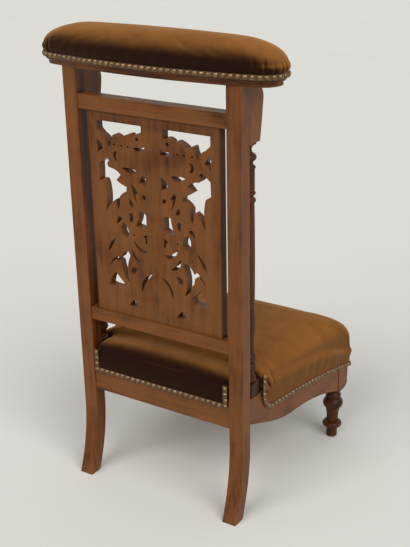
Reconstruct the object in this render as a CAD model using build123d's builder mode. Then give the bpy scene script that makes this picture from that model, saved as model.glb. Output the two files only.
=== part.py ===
from build123d import *
import os
from math import atan2, cos, hypot, pi, sin, sqrt, tan

# A prie-dieu: a low upholstered kneeling seat with a tall raked back, a pierced panel between
# two rails, turned columns in front of the posts, and a padded armrest board across the top.
# Millimetres, Z up, the front faces -Y, left and right are as seen from the front (left is -X).
# Depths called u run forward from the rear faces of the posts at the knee.
# Entries with two shares in a table are straight runs, those with four are arcs: through, to.

# Back frame
back_width = 378.0
post_width = 30.0
post_depth = 29.0
post_edge_chamfer = 0.9
knee_height = 155.0
foot_setback = 26.5
top_setback = 21.4
board_height = 851.4
post_tenon = 15.0
post_tenon_length = 14.0

# Rails between the posts, at the height of their rear faces
back_rail_recess = 2.5
back_rail_depth = 24.0
upper_rail_low = 775.4
upper_rail_high = 802.7
lower_rail_low = 349.3
lower_rail_high = 375.2
rail_tenon_length = 15.0
rail_tenon_thickness = 8.0
rail_tenon_shoulder = 4.0
rail_edge_radius = 1.0

# Fits
glue_gap = 0.1
tenon_end_gap = 1.0
soft_gap = 0.3
stuffing_gap = 0.8
overrun = 5.0

# Pierced panel
panel_half_width = 142.0
panel_thickness = 19.0
panel_setback = 7.2
panel_tongue = 6.0
panel_tongue_thickness = 8.0
panel_groove_thickness = 8.2
fret_half_width = 125.0
fret_dot_diameter = 4.2
fret_eye_diameter = 7.0

# Seat frame
seat_reach = 412.5
front_half_width = 215.0
leg_block = 43.0
leg_reveal = 1.5
seat_rail_thickness = 25.0
deck_rear_height = 252.0
deck_front_height = 190.5
seat_rail_height = 60.0
seat_rail_waste = 10.0
seat_rail_low = deck_rear_height - seat_rail_height
seat_rail_high = deck_rear_height + seat_rail_waste
ear_drop = 1.0
ear_height = deck_rear_height - ear_drop
ear_margin = 1.4
side_rail_rear_height = 54.0
side_rail_rear_low = deck_rear_height - side_rail_rear_height
side_rail_bend_reach = 92.0
side_rail_bend_height = 77.0
side_rail_bend_low = deck_rear_height - side_rail_bend_height
side_rail_belly_reach = 190.0
side_rail_belly_low = 158.0
side_rail_front_low = 124.0
side_tenon_length = 8.0
side_tenon_thickness = 10.0
side_tenon_drop = 9.0
side_tenon_height = 36.0
side_tenon_high = ear_height - side_tenon_drop
side_tenon_low = side_tenon_high - side_tenon_height
front_rail_low = 128.0
front_rail_arch = 6.0
front_tenon_length = 12.0
front_tenon_thickness = 10.0
front_tenon_low = 138.0
front_tenon_high = 178.0

# Front legs
leg_block_low = 119.0
leg_shoulder_height = 12.0
leg_greatest_radius = 22.0
leg_turning_shares = [
    (0, 0), (0.48, 0), (0.545, 0.02), (0.525, 0.20),
    (0.76, 0.205), (0.965, 0.258, 0.76, 0.311), (0.57, 0.318), (0.59, 0.353),
    (0.61, 0.487, 0.75, 0.60), (1.0, 0.706, 0.77, 0.79), (0.70, 0.80), (0.70, 0.815),
    (0.77, 0.853, 0.70, 0.89), (0.66, 0.905), (0.66, 0.94), (0.745, 0.96), (0.745, 1), (0, 1),
]

# Columns and brackets
column_offset = 48.5
plinth_width = 30.0
plinth_height = 28.0
plinth_top = ear_height + plinth_height
column_greatest_radius = 15.0
column_spigot_diameter = 10.0
column_spigot_length = 14.0
plinth_dowel_diameter = 8.0
plinth_dowel_length = 12.0
column_turning_shares = [
    (0, -0.01), (0.80, -0.01), (0.87, 0.0), (0.97, 0.012, 0.87, 0.024), (0.77, 0.026),
    (0.67, 0.039, 0.77, 0.054), (0.80, 0.056), (0.97, 0.070, 0.80, 0.084), (0.70, 0.086), (0.70, 0.092),
    (0.80, 0.094), (0.90, 0.100, 0.80, 0.107), (0.80, 0.109), (0.90, 0.115, 0.80, 0.120), (0.70, 0.124),
    (0.70, 0.198), (0.84, 0.265, 0.70, 0.333), (0.79, 0.342),
    (0.82, 0.555, 0.76, 0.766), (0.93, 0.775, 0.76, 0.783), (0.66, 0.790), (0.70, 0.795),
    (0.90, 0.802, 0.70, 0.811), (0.80, 0.815), (0.80, 0.897), (0.73, 0.899),
    (0.90, 0.904, 0.73, 0.910), (0.60, 0.920, 0.73, 0.930),
    (1.0, 0.944, 0.73, 0.957), (0.60, 0.960), (0.43, 0.976, 0.60, 0.987), (0.75, 0.991, 0.97, 0.995),
    (0.97, 1), (0, 1),
]
bracket_width = 27.0
bracket_low = 744.0
bracket_toe = 67.0
bracket_knee = 74.0
bracket_knee_height = 784.0
bracket_nose = 78.5
bracket_nose_height = 814.0
bracket_lip = 66.0
bracket_lip_height = 841.0
bracket_brow = 76.5
bracket_brow_height = 830.0

# Armrest board and pad
board_end_x = 206.0
board_end_u = 19.2
board_end_radius = 40.5
board_bow = 61.2
board_thickness = 22.0
board_step_height = 7.5
board_step_inset = 5.0
board_edge_radius = 3.0
armrest_top = 927.0
cloth = 2.5
skirt_low_height = 12.6
pad_overhang = 6.2
pad_end_draw = 45.0
pad_station_shares = [
    (0.0, 0.0, 0.0), (0.62, 0.19, 0.0), (1.0, 0.44, 0.17), (0.75, 0.65, 0.42),
    (-0.35, 0.82, 0.72), (-2.3, 0.94, 1.0), (-4.6, 1.0, 1.2),
]

# Seat cushion. Each station gives its rise from the deck to the crown, and how far the sides,
# the front edge and the front corners' radius stand there, as shares of the sizes below
seat_back_edge = 64.0
skirt_back = seat_back_edge + soft_gap
tongue_lap = 17.5
seat_nose = 12.5
seat_crown_rear_rise = 52.5
seat_crown_front_rise = 108.5
seat_crown_rear = deck_rear_height + seat_crown_rear_rise
seat_crown_front = deck_front_height + seat_crown_front_rise
seat_fall = 95.0
seat_bulge = 5.0
seat_corner_radius = 40.0
leg_corner_radius = 2.0
skirt_lap = 2.0
seat_station_shares = [
    (0.0, 0.0, 0.0, 0.1), (0.22, 0.65, 0.7, 0.3), (0.45, 1.0, 1.0, 0.6), (0.66, 0.5, 0.55, 0.85),
    (0.80, -1.2, -0.8, 1.1), (0.90, -4.0, -2.8, 1.3), (0.965, -7.6, -5.0, 1.4), (1.0, -11.6, -7.2, 1.4),
]
tongue_station_shares = [(0.0, 0.15, 0.20), (0.12, 0.07, 0.14), (0.45, 0.02, 0.12), (1.0, 0.01, 0.13)]
skirt_rear_drop = 17.0
skirt_ear_drop = 7.0
skirt_turn_drop = 32.05
skirt_middle_drop = 20.4
skirt_front_drop = 21.5
skirt_rear_low = deck_rear_height - skirt_rear_drop
skirt_ear_low = deck_rear_height - skirt_ear_drop
skirt_turn_reach = 107.0
skirt_middle_reach = 258.0
skirt_front_low = deck_front_height - skirt_front_drop

# Trimmings
gimp_thickness = 1.2
gimp_width = 9.0
gimp_rise = 0.5
gimp_gap = 0.3
nail_head_radius = 4.8
nail_head_height = 2.8
nail_spacing = 12.8
rear_nail_half_width = 151.0
rear_nail_rise = 32.0
rear_nail_top = deck_rear_height + rear_nail_rise

# Springs, webbing and hessian
web_width = 50.0
web_thickness = 2.0
web_rear_drop = 60.5
web_front_drop = 67.5
web_rear_height = deck_rear_height - web_rear_drop
web_front_height = deck_front_height - web_front_drop
web_places = (-100.0, 0.0, 100.0)
web_cross_reaches = (112.0, 202.0, 292.0)
web_turn_up = 22.0
web_margin = 10.0
spring_wire = 3.5
spring_radius = 32.0
spring_waist = 21.0
spring_rise_shares = (0.0, 0.0, 0.2, 0.4, 0.6, 0.8, 1.0, 1.0)
spring_half_turns = len(spring_rise_shares) - 1
gap_samples = 200
hessian_thickness = 1.2
hessian_margin = 3.0

# Corner blocks and their screws
block_height = 34.0
block_leg = 44.0
front_block_leg = 62.0
block_clip = 5.0
rear_block_drop = 21.0
block_notch = 2.0
screw_diameter = 4.0
screw_head_diameter = 8.0
screw_head_depth = 3.0
screw_length = 36.0

# Places worked out from the sizes above
half_back = back_width / 2
post_x = half_back - post_width / 2
post_inner = half_back - post_width
rake = atan2(top_setback, board_height - knee_height)
skin_reach = soft_gap + cloth
rear_reach = board_bow - board_end_u + skin_reach + pad_overhang
front_reach = seat_reach + seat_nose
back_y = (front_reach - rear_reach) / 2
leg_x = front_half_width - leg_block / 2
leg_u = seat_reach - leg_block / 2
leg_back = seat_reach - leg_block
slant = (front_half_width - leg_reveal - half_back) / (leg_back - post_depth)
panel_height = upper_rail_low - lower_rail_high
hands = (("left", -1), ("right", 1))


def side_plane(x):
    """Upright plane across the chair at x: first number forward, second up."""
    return Plane(origin=(x, back_y, 0), x_dir=(0, -1, 0), z_dir=(-1, 0, 0))


def stile_side_plane(x):
    """Like side_plane, but turned with the raked posts and starting at their knees."""
    return Plane(origin=(x, back_y, knee_height), x_dir=(0, -cos(rake), sin(rake)), z_dir=(-1, 0, 0))


back_plane = Plane(origin=(0, back_y, knee_height), x_dir=(1, 0, 0), z_dir=(0, -cos(rake), sin(rake)))


def up_stile(height, forward=0):
    """Distance up the raked posts of a point at this height, so far in front of their rear faces."""
    return (height - knee_height - forward * sin(rake)) / cos(rake)


def reach_at(forward, height):
    """Depth u of the raked plane that lies so far in front of the posts' rear faces."""
    return (forward - (height - knee_height) * sin(rake)) / cos(rake)


def deck_height(u):
    """Height of the tops of the seat rails, on which the hessian lies."""
    return deck_rear_height + (deck_front_height - deck_rear_height) * u / seat_reach


skirt_turn_low = deck_height(skirt_turn_reach) - skirt_turn_drop
skirt_middle_low = deck_height(skirt_middle_reach) - skirt_middle_drop


def side_face(u):
    """Half the width over the outer faces of the side rails."""
    return half_back + slant * (u - post_depth)


def draw_stretches(shares, place):
    """Draws a closed outline: straight to entries of two shares, in an arc to entries of four."""
    here = place(*shares[0])
    start = here
    for entry in shares[1:]:
        there = place(*entry[-2:])
        if len(entry) > 2:
            ThreePointArc(here, place(*entry[:2]), there)
        else:
            Line(here, there)
        here = there
    if (here[0] - start[0]) or (here[1] - start[1]):
        Line(here, start)


deck_plane = Plane(
    origin=(0, back_y, deck_rear_height),
    x_dir=(1, 0, 0),
    z_dir=(0, deck_front_height - deck_rear_height, seat_reach),
)
os.makedirs("parts", exist_ok=True)

# Corner blocks' long faces, from the cross rail to the side rail, with a screw square to each
rail_front = back_rail_recess + back_rail_depth
side_inner = seat_rail_thickness * sqrt(1 + slant * slant)
leg_inner = front_half_width - leg_block
front_rail_back = seat_reach - seat_rail_thickness
rear_block_u = reach_at(rail_front, seat_rail_low)


def inner_face(u):
    """Half the clear width between the side rails."""
    return side_face(u) - side_inner


def long_face(side, start, end, middle_height):
    """Plane in the middle of a corner block's long face, facing the middle of the seat."""
    run_x = end[0] - start[0]
    run_u = end[1] - start[1]
    turn = -1 if run_u > 0 else 1
    return Plane(
        origin=(side * (start[0] + end[0]) / 2, back_y - (start[1] + end[1]) / 2, middle_height),
        x_dir=(0, 0, 1),
        z_dir=(side * turn * run_u, turn * run_x, 0),
    )


rear_long = ((post_inner - block_leg, rear_block_u),
             (inner_face(rear_block_u + block_leg), rear_block_u + block_leg))
front_long = ((inner_face(front_rail_back) - front_block_leg + block_clip, front_rail_back),
              (inner_face(front_rail_back - front_block_leg), front_rail_back - front_block_leg))
rear_block_low = ear_height - rear_block_drop - block_height
front_block_low = front_tenon_low
rear_screws = {}
front_screws = {}
for hand, side in hands:
    rear_screws[hand] = long_face(side, *rear_long, rear_block_low + block_height / 2)
    front_screws[hand] = long_face(side, *front_long, front_block_low + block_height / 2)

# Back posts: one plank each, a raked stile above the knee and a swept leg below
side_rail_x = half_back - seat_rail_thickness / 2
back_tenon_forward = back_rail_recess + (back_rail_depth - rail_tenon_thickness) / 2
down_stile = (sin(rake), -cos(rake))
back_rails = {
    "upper_back_rail": (upper_rail_low, upper_rail_high),
    "lower_back_rail": (lower_rail_low, lower_rail_high),
    "seat_back_rail": (seat_rail_low, seat_rail_high),
}
for hand, side in hands:
    with BuildPart() as post:
        with BuildSketch(side_plane(side * post_x)):
            with BuildLine():
                rear_knee = (0, knee_height)
                front_knee = (reach_at(post_depth, knee_height), knee_height)
                rear_foot = (-foot_setback, 0)
                front_foot = (post_depth - foot_setback, 0)
                rear_top = (-top_setback, board_height)
                front_top = (reach_at(post_depth, board_height), board_height)
                Line(rear_top, rear_knee)
                TangentArc(rear_knee, rear_foot, tangent=down_stile)
                Line(rear_foot, front_foot)
                TangentArc(front_knee, front_foot, tangent=down_stile)
                Line(front_knee, front_top)
                Line(front_top, rear_top)
            make_face()
        extrude(amount=post_width / 2, both=True)
        long_edges = post.edges().filter_by(lambda edge: edge.length > knee_height / 2)
        chamfer(long_edges, length=post_edge_chamfer)
        post_top_y = back_y - (rear_top[0] + front_top[0]) / 2
        with BuildSketch(Plane.XY.offset(board_height)):
            with Locations((side * post_x, post_top_y)):
                Rectangle(post_tenon, post_tenon)
        extrude(amount=post_tenon_length)
        for low, high in back_rails.values():
            mortise_low = up_stile(low) + rail_tenon_shoulder - glue_gap
            mortise_high = up_stile(high) - rail_tenon_shoulder + glue_gap
            mortise_depth = rail_tenon_length + tenon_end_gap
            with BuildSketch(back_plane.offset(back_tenon_forward - glue_gap)):
                with Locations((side * (post_inner + mortise_depth / 2), (mortise_low + mortise_high) / 2)):
                    Rectangle(mortise_depth, mortise_high - mortise_low)
            extrude(amount=rail_tenon_thickness + 2 * glue_gap, mode=Mode.SUBTRACT)
        side_mortise_depth = side_tenon_length + tenon_end_gap
        side_mortise_middle = up_stile((side_tenon_low + side_tenon_high) / 2)
        with BuildSketch(back_plane.offset(post_depth - side_mortise_depth)):
            with Locations((side * side_rail_x, side_mortise_middle)):
                Rectangle(side_tenon_thickness + 2 * glue_gap, side_tenon_high - side_tenon_low + 2 * glue_gap)
        extrude(amount=side_mortise_depth + overrun, mode=Mode.SUBTRACT)
        with BuildSketch(rear_screws[hand]):
            Circle(screw_diameter / 2 + glue_gap)
        extrude(amount=-screw_length - tenon_end_gap, mode=Mode.SUBTRACT)
    post.part.label = f"back_post_{hand}"
    export_step(post.part, f"parts/back_post_{hand}.step")

# Rails between the posts, tenoned into them
tongue_forward = panel_setback + (panel_thickness - panel_groove_thickness) / 2
groove_depth = panel_tongue + tenon_end_gap / 2
for name, (low, high) in back_rails.items():
    middle = (up_stile(low) + up_stile(high)) / 2
    tall = up_stile(high) - up_stile(low)
    with BuildPart() as rail:
        with BuildSketch(back_plane.offset(back_rail_recess)):
            with Locations((0, middle)):
                Rectangle(2 * post_inner, tall)
        extrude(amount=back_rail_depth)
        lower_edges = rail.edges().filter_by(Axis.X).group_by(Axis.Z)[0]
        fillet(lower_edges, radius=rail_edge_radius)
        with BuildSketch(back_plane.offset(back_tenon_forward)):
            with Locations((0, middle)):
                Rectangle(2 * (post_inner + rail_tenon_length), tall - 2 * rail_tenon_shoulder)
        extrude(amount=rail_tenon_thickness)
        if name == "seat_back_rail":
            split(bisect_by=deck_plane, keep=Keep.BOTTOM)
            for screw_plane in rear_screws.values():
                with BuildSketch(screw_plane):
                    Circle(screw_diameter / 2 + glue_gap)
                extrude(amount=-screw_length - tenon_end_gap, mode=Mode.SUBTRACT)
        else:
            groove_middle = up_stile(high) - groove_depth / 2
            if name == "upper_back_rail":
                groove_middle = up_stile(low) + groove_depth / 2
            with BuildSketch(back_plane.offset(tongue_forward)):
                with Locations((0, groove_middle)):
                    Rectangle(2 * panel_half_width + tenon_end_gap, groove_depth)
            extrude(amount=panel_groove_thickness, mode=Mode.SUBTRACT)
    rail.part.label = name
    export_step(rail.part, f"parts/{name}.step")

# Pierced panel: leafy scrollwork on both sides of a solid muntin, over a round medallion
fret_shares = [
    [(0.184, 0.955), (0.984, 0.955), (0.984, 0.913), (0.920, 0.893, 0.856, 0.880),
     (0.800, 0.860, 0.776, 0.835), (0.728, 0.860, 0.696, 0.895), (0.632, 0.890, 0.584, 0.880),
     (0.512, 0.896, 0.440, 0.906), (0.408, 0.907, 0.360, 0.893), (0.272, 0.914, 0.184, 0.910)],
    [(0.992, 0.865), (0.920, 0.848, 0.880, 0.823), (0.944, 0.813, 0.984, 0.793)],
    [(0.824, 0.783), (0.904, 0.768, 0.976, 0.748), (0.984, 0.663), (0.936, 0.671, 0.888, 0.658),
     (0.860, 0.593, 0.896, 0.513), (0.808, 0.555, 0.688, 0.588), (0.680, 0.563, 0.656, 0.538),
     (0.624, 0.568, 0.624, 0.600), (0.560, 0.623, 0.488, 0.635), (0.488, 0.658),
     (0.568, 0.665, 0.664, 0.683), (0.584, 0.710), (0.672, 0.730, 0.784, 0.738),
     (0.816, 0.755, 0.784, 0.770)],
    [(0.624, 0.818), (0.688, 0.815, 0.704, 0.798), (0.688, 0.783, 0.656, 0.773), (0.624, 0.778),
     (0.652, 0.795, 0.624, 0.818)],
    [(0.136, 0.873), (0.168, 0.855, 0.232, 0.853), (0.288, 0.853, 0.336, 0.845), (0.304, 0.835),
     (0.136, 0.835)],
    [(0.304, 0.743), (0.432, 0.750, 0.560, 0.745), (0.480, 0.730, 0.400, 0.718), (0.348, 0.729, 0.304, 0.743)],
    [(0.136, 0.733), (0.208, 0.718, 0.256, 0.688), (0.192, 0.681, 0.136, 0.668)],
    [(0.400, 0.675), (0.336, 0.658, 0.288, 0.635), (0.328, 0.630), (0.320, 0.605, 0.296, 0.580),
     (0.360, 0.618, 0.400, 0.675)],
    [(0.216, 0.630), (0.160, 0.630), (0.146, 0.620, 0.144, 0.610), (0.192, 0.608)],
    [(0.448, 0.603), (0.400, 0.590, 0.376, 0.565), (0.416, 0.564, 0.448, 0.578)],
    [(0.464, 0.528), (0.424, 0.533, 0.392, 0.528), (0.388, 0.510, 0.400, 0.493), (0.428, 0.488, 0.456, 0.488)],
    [(0.152, 0.533), (0.224, 0.548, 0.288, 0.543), (0.304, 0.505, 0.352, 0.473), (0.288, 0.468, 0.216, 0.468),
     (0.152, 0.478)],
    [(0.656, 0.505), (0.616, 0.504, 0.584, 0.498), (0.640, 0.480, 0.704, 0.465), (0.688, 0.488, 0.656, 0.505)],
    [(0.576, 0.478), (0.504, 0.455, 0.480, 0.418), (0.552, 0.405, 0.616, 0.420), (0.624, 0.450, 0.576, 0.478)],
    [(0.720, 0.398), (0.784, 0.360, 0.888, 0.313), (0.836, 0.365, 0.720, 0.398)],
    [(0.152, 0.440), (0.232, 0.425), (0.188, 0.415, 0.192, 0.395), (0.152, 0.395)],
    [(0.392, 0.403), (0.296, 0.370, 0.160, 0.358), (0.192, 0.340), (0.312, 0.353, 0.392, 0.403)],
    [(0.536, 0.340), (0.616, 0.320, 0.672, 0.293), (0.720, 0.305), (0.808, 0.280, 0.880, 0.238),
     (0.824, 0.263, 0.752, 0.283), (0.680, 0.273), (0.640, 0.225, 0.496, 0.173), (0.536, 0.243, 0.480, 0.313),
     (0.496, 0.330, 0.536, 0.340)],
    [(0.768, 0.218), (0.848, 0.188, 0.896, 0.143), (0.760, 0.138, 0.640, 0.143), (0.616, 0.168),
     (0.688, 0.190, 0.768, 0.218)],
    [(0.432, 0.353), (0.352, 0.315, 0.256, 0.290), (0.376, 0.298, 0.432, 0.353)],
    [(0.352, 0.260), (0.416, 0.261, 0.464, 0.250), (0.468, 0.235, 0.448, 0.223), (0.400, 0.228)],
    [(0.080, 0.244), (0.252, 0.204, 0.284, 0.138), (0.204, 0.195, 0.080, 0.244)],
    [(0.448, 0.090), (0.384, 0.073, 0.344, 0.053), (0.536, 0.053), (0.504, 0.073, 0.448, 0.090)],
]
fret_dot_shares = [(0.432, 0.850), (0.544, 0.850), (0.680, 0.850), (0.392, 0.425)]
fret_eye_shares = [(0.264, 0.890)]
panel_low = up_stile(lower_rail_high)
with BuildPart() as panel:
    with BuildSketch(back_plane.offset(panel_setback)):
        with Locations((0, panel_low + panel_height / 2)):
            Rectangle(2 * panel_half_width, panel_height)
    extrude(amount=panel_thickness)
    with BuildSketch(back_plane.offset(panel_setback + (panel_thickness - panel_tongue_thickness) / 2)):
        with Locations((0, panel_low + panel_height / 2)):
            Rectangle(2 * panel_half_width, panel_height + 2 * panel_tongue)
    extrude(amount=panel_tongue_thickness)
    with BuildSketch(back_plane.offset(panel_setback - overrun)):
        for hand, side in hands:
            fret_place = lambda x, z: (side * x * fret_half_width, panel_low + z * panel_height)
            for outline in fret_shares:
                with BuildLine():
                    draw_stretches(outline, fret_place)
                make_face()
            for dots, diameter in ((fret_dot_shares, fret_dot_diameter), (fret_eye_shares, fret_eye_diameter)):
                with Locations(*[fret_place(*dot) for dot in dots]):
                    Circle(diameter / 2)
    extrude(amount=panel_thickness + 2 * overrun, mode=Mode.SUBTRACT)
panel.part.label = "fretwork_panel"
export_step(panel.part, "parts/fretwork_panel.step")

# Seat side rails: serpentine below, with an ear at the rear that carries the column
ear_reach = reach_at(column_offset + plinth_width / 2, ear_height) + ear_margin
for hand, side in hands:
    with BuildPart() as side_rail:
        with BuildSketch(side_plane(0)):
            with BuildLine():
                ear_back = (reach_at(post_depth, ear_height), ear_height)
                rail_heel = (reach_at(post_depth, side_rail_rear_low), side_rail_rear_low)
                rail_bend = (side_rail_bend_reach, side_rail_bend_low)
                rail_belly = (side_rail_belly_reach, side_rail_belly_low)
                rail_toe = (leg_back, side_rail_front_low)
                bend_slope = (side_rail_bend_reach - rail_heel[0], side_rail_bend_low - side_rail_rear_low)
                Line(rail_heel, rail_bend)
                belly = TangentArc(rail_bend, rail_belly, tangent=bend_slope)
                TangentArc(rail_belly, rail_toe, tangent=belly % 1)
                Polyline(
                    rail_toe,
                    (leg_back, deck_height(leg_back)),
                    (ear_reach, deck_height(ear_reach)),
                    (ear_reach, ear_height),
                    ear_back,
                    rail_heel,
                )
            make_face()
        extrude(amount=front_half_width + overrun, both=True)
        with BuildSketch(Plane.XY):
            with BuildLine():
                Polyline(
                    (side * side_face(0), back_y),
                    (side * side_face(seat_reach), back_y - seat_reach),
                    (side * (side_face(seat_reach) - side_inner), back_y - seat_reach),
                    (side * (side_face(0) - side_inner), back_y),
                    close=True,
                )
            make_face()
        extrude(amount=board_height, mode=Mode.INTERSECT)
        with BuildSketch(back_plane.offset(post_depth - side_tenon_length)):
            with Locations((side * side_rail_x, side_mortise_middle)):
                Rectangle(side_tenon_thickness, side_tenon_high - side_tenon_low)
        extrude(amount=side_tenon_length + overrun)
        front_tenon_x = side_face(leg_back) - seat_rail_thickness / 2
        with BuildSketch(Plane.XY.offset(front_tenon_low)):
            with Locations((side * front_tenon_x, back_y - leg_back - (front_tenon_length - overrun) / 2)):
                Rectangle(front_tenon_thickness, front_tenon_length + overrun)
        extrude(amount=front_tenon_high - front_tenon_low)
        with BuildSketch(stile_side_plane(side * post_x)):
            with Locations((column_offset, up_stile(ear_height, column_offset) - plinth_dowel_length / 2)):
                Rectangle(
                    plinth_dowel_diameter / 2 + glue_gap,
                    plinth_dowel_length + 2 * tenon_end_gap,
                    align=(Align.MIN, Align.CENTER),
                )
        column_axis = Axis(
            stile_side_plane(side * post_x).from_local_coords((column_offset, 0, 0)),
            (0, sin(rake), cos(rake)),
        )
        revolve(axis=column_axis, mode=Mode.SUBTRACT)
    side_rail.part.label = f"seat_side_rail_{hand}"
    export_step(side_rail.part, f"parts/seat_side_rail_{hand}.step")

# Seat front rail, gently arched below
with BuildPart() as front_rail:
    with BuildSketch(Plane.XZ.offset(seat_reach - back_y)):
        with BuildLine():
            ThreePointArc(
                (-leg_inner, front_rail_low), (0, front_rail_low + front_rail_arch), (leg_inner, front_rail_low)
            )
            Polyline(
                (-leg_inner, front_rail_low),
                (-leg_inner, deck_rear_height),
                (leg_inner, deck_rear_height),
                (leg_inner, front_rail_low),
            )
        make_face()
    extrude(amount=-seat_rail_thickness)
    split(bisect_by=deck_plane, keep=Keep.BOTTOM)
    with BuildSketch(Plane.XY.offset(front_tenon_low)):
        with Locations((0, back_y - seat_reach + seat_rail_thickness / 2)):
            Rectangle(2 * (leg_inner + front_tenon_length), front_tenon_thickness)
    extrude(amount=front_tenon_high - front_tenon_low)
front_rail.part.label = "seat_front_rail"
export_step(front_rail.part, "parts/seat_front_rail.step")

# Front legs: a square block with rounded shoulders over a turned leg
for hand, side in hands:
    leg_y = back_y - leg_u
    leg_axis = Axis((side * leg_x, leg_y, 0), (0, 0, 1))
    leg_plane = Plane(origin=(side * leg_x, leg_y, 0), x_dir=(1, 0, 0), z_dir=(0, -1, 0))
    with BuildPart() as leg:
        with BuildSketch(Plane.XY.offset(leg_block_low)):
            with Locations((side * leg_x, leg_y)):
                Rectangle(leg_block, leg_block)
        extrude(amount=deck_rear_height - leg_block_low)
        split(bisect_by=deck_plane, keep=Keep.BOTTOM)
        with BuildSketch(leg_plane):
            with BuildLine():
                corner_radius = hypot(leg_block / 2, leg_block / 2)
                neck_radius = leg_greatest_radius * leg_turning_shares[-2][0]
                shoulder_top = leg_block_low + leg_shoulder_height
                Line((0, leg_block_low), (neck_radius, leg_block_low))
                TangentArc((neck_radius, leg_block_low), (corner_radius, shoulder_top), tangent=(1, 0))
                Polyline(
                    (corner_radius, shoulder_top),
                    (corner_radius, deck_rear_height),
                    (0, deck_rear_height),
                    (0, leg_block_low),
                )
            make_face()
        revolve(axis=leg_axis, mode=Mode.INTERSECT)
        with BuildSketch(leg_plane):
            with BuildLine():
                draw_stretches(
                    leg_turning_shares, lambda r, z: (r * leg_greatest_radius, z * leg_block_low)
                )
            make_face()
        revolve(axis=leg_axis)
        mortise_depth = front_tenon_length + tenon_end_gap
        with BuildSketch(Plane.XY.offset(front_tenon_low - glue_gap)):
            with Locations((side * front_tenon_x, back_y - leg_back - (mortise_depth - overrun) / 2)):
                Rectangle(front_tenon_thickness + 2 * glue_gap, mortise_depth + overrun)
            with Locations((side * (leg_inner + (mortise_depth - overrun) / 2),
                            back_y - seat_reach + seat_rail_thickness / 2)):
                Rectangle(mortise_depth + overrun, front_tenon_thickness + 2 * glue_gap)
        extrude(amount=front_tenon_high - front_tenon_low + 2 * glue_gap, mode=Mode.SUBTRACT)
        with BuildSketch(front_screws[hand]):
            Circle(screw_diameter / 2 + glue_gap)
        extrude(amount=-screw_length - tenon_end_gap, mode=Mode.SUBTRACT)
    leg.part.label = f"front_leg_{hand}"
    export_step(leg.part, f"parts/front_leg_{hand}.step")

# Columns: a square plinth that stands on the rail's ear, and a turned shaft up to the bracket
for hand, side in hands:
    column_plane = stile_side_plane(side * post_x)
    column_axis = Axis(column_plane.from_local_coords((column_offset, 0, 0)), (0, sin(rake), cos(rake)))
    plinth_back = column_offset - plinth_width / 2
    plinth_front = column_offset + plinth_width / 2
    turned_low = up_stile(plinth_top)
    turned_height = up_stile(bracket_low) - turned_low
    with BuildPart() as column:
        with BuildSketch(column_plane):
            with BuildLine():
                Polyline(
                    (plinth_back, up_stile(ear_height, plinth_back)),
                    (plinth_front, up_stile(ear_height, plinth_front)),
                    (plinth_front, turned_low),
                    (plinth_back, turned_low),
                    close=True,
                )
            make_face()
        extrude(amount=plinth_width / 2, both=True)
        with BuildSketch(column_plane):
            with BuildLine():
                draw_stretches(
                    column_turning_shares,
                    lambda r, z: (column_offset + r * column_greatest_radius, turned_low + z * turned_height),
                )
            make_face()
            with Locations((column_offset, turned_low + turned_height)):
                Rectangle(
                    column_spigot_diameter / 2, column_spigot_length, align=(Align.MIN, Align.MIN)
                )
            with Locations((column_offset, up_stile(ear_height, column_offset) + overrun)):
                Rectangle(
                    plinth_dowel_diameter / 2, plinth_dowel_length + overrun, align=(Align.MIN, Align.MAX)
                )
        revolve(axis=column_axis)
    column.part.label = f"column_{hand}"
    export_step(column.part, f"parts/column_{hand}.step")

# Brackets under the armrest board, each over its column
for hand, side in hands:
    bracket_plane = stile_side_plane(side * post_x)
    bracket_axis = Axis(bracket_plane.from_local_coords((column_offset, 0, 0)), (0, sin(rake), cos(rake)))
    with BuildPart() as bracket:
        with BuildSketch(bracket_plane):
            with BuildLine():
                toe = (bracket_toe, up_stile(bracket_low))
                nose = (bracket_nose, up_stile(bracket_nose_height))
                lip = (bracket_lip, up_stile(bracket_lip_height))
                ThreePointArc(toe, (bracket_knee, up_stile(bracket_knee_height)), nose)
                ThreePointArc(nose, (bracket_brow, up_stile(bracket_brow_height)), lip)
                Polyline(
                    lip,
                    (bracket_lip, up_stile(board_height, bracket_lip)),
                    (post_depth, up_stile(board_height, post_depth)),
                    (post_depth, up_stile(bracket_low)),
                    toe,
                )
            make_face()
        extrude(amount=bracket_width / 2, both=True)
        with BuildSketch(bracket_plane):
            with Locations((column_offset, up_stile(bracket_low) - overrun)):
                Rectangle(
                    column_spigot_diameter / 2 + glue_gap,
                    column_spigot_length + overrun + tenon_end_gap,
                    align=(Align.MIN, Align.MIN),
                )
        revolve(axis=bracket_axis, mode=Mode.SUBTRACT)
    bracket.part.label = f"armrest_bracket_{hand}"
    export_step(bracket.part, f"parts/armrest_bracket_{hand}.step")

# Armrest board: bowed at the rear, round at the ends, stepped in below
def draw_board_outline(grow, draw=0):
    """Draws the board's outline grown all round, with its ends drawn in, in the board's plane."""
    end_x = board_end_x - draw
    bow_radius = (end_x**2 + board_bow**2 - board_end_radius**2) / (2 * (board_bow - board_end_radius))
    bow_to_end = bow_radius - board_end_radius
    radius = board_end_radius + grow
    end_y = back_y - board_end_u
    front_y = end_y - radius
    joins = {}
    for side in (-1, 1):
        join_x = side * end_x * (1 + radius / bow_to_end)
        joins[side] = (join_x, end_y - (board_bow - bow_radius) / bow_to_end * radius)
    ThreePointArc(joins[-1], (0, end_y + board_bow + grow), joins[1])
    for side in (-1, 1):
        ThreePointArc(joins[side], (side * (end_x + radius), end_y), (side * end_x, front_y))
    Line((-end_x, front_y), (end_x, front_y))


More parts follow.
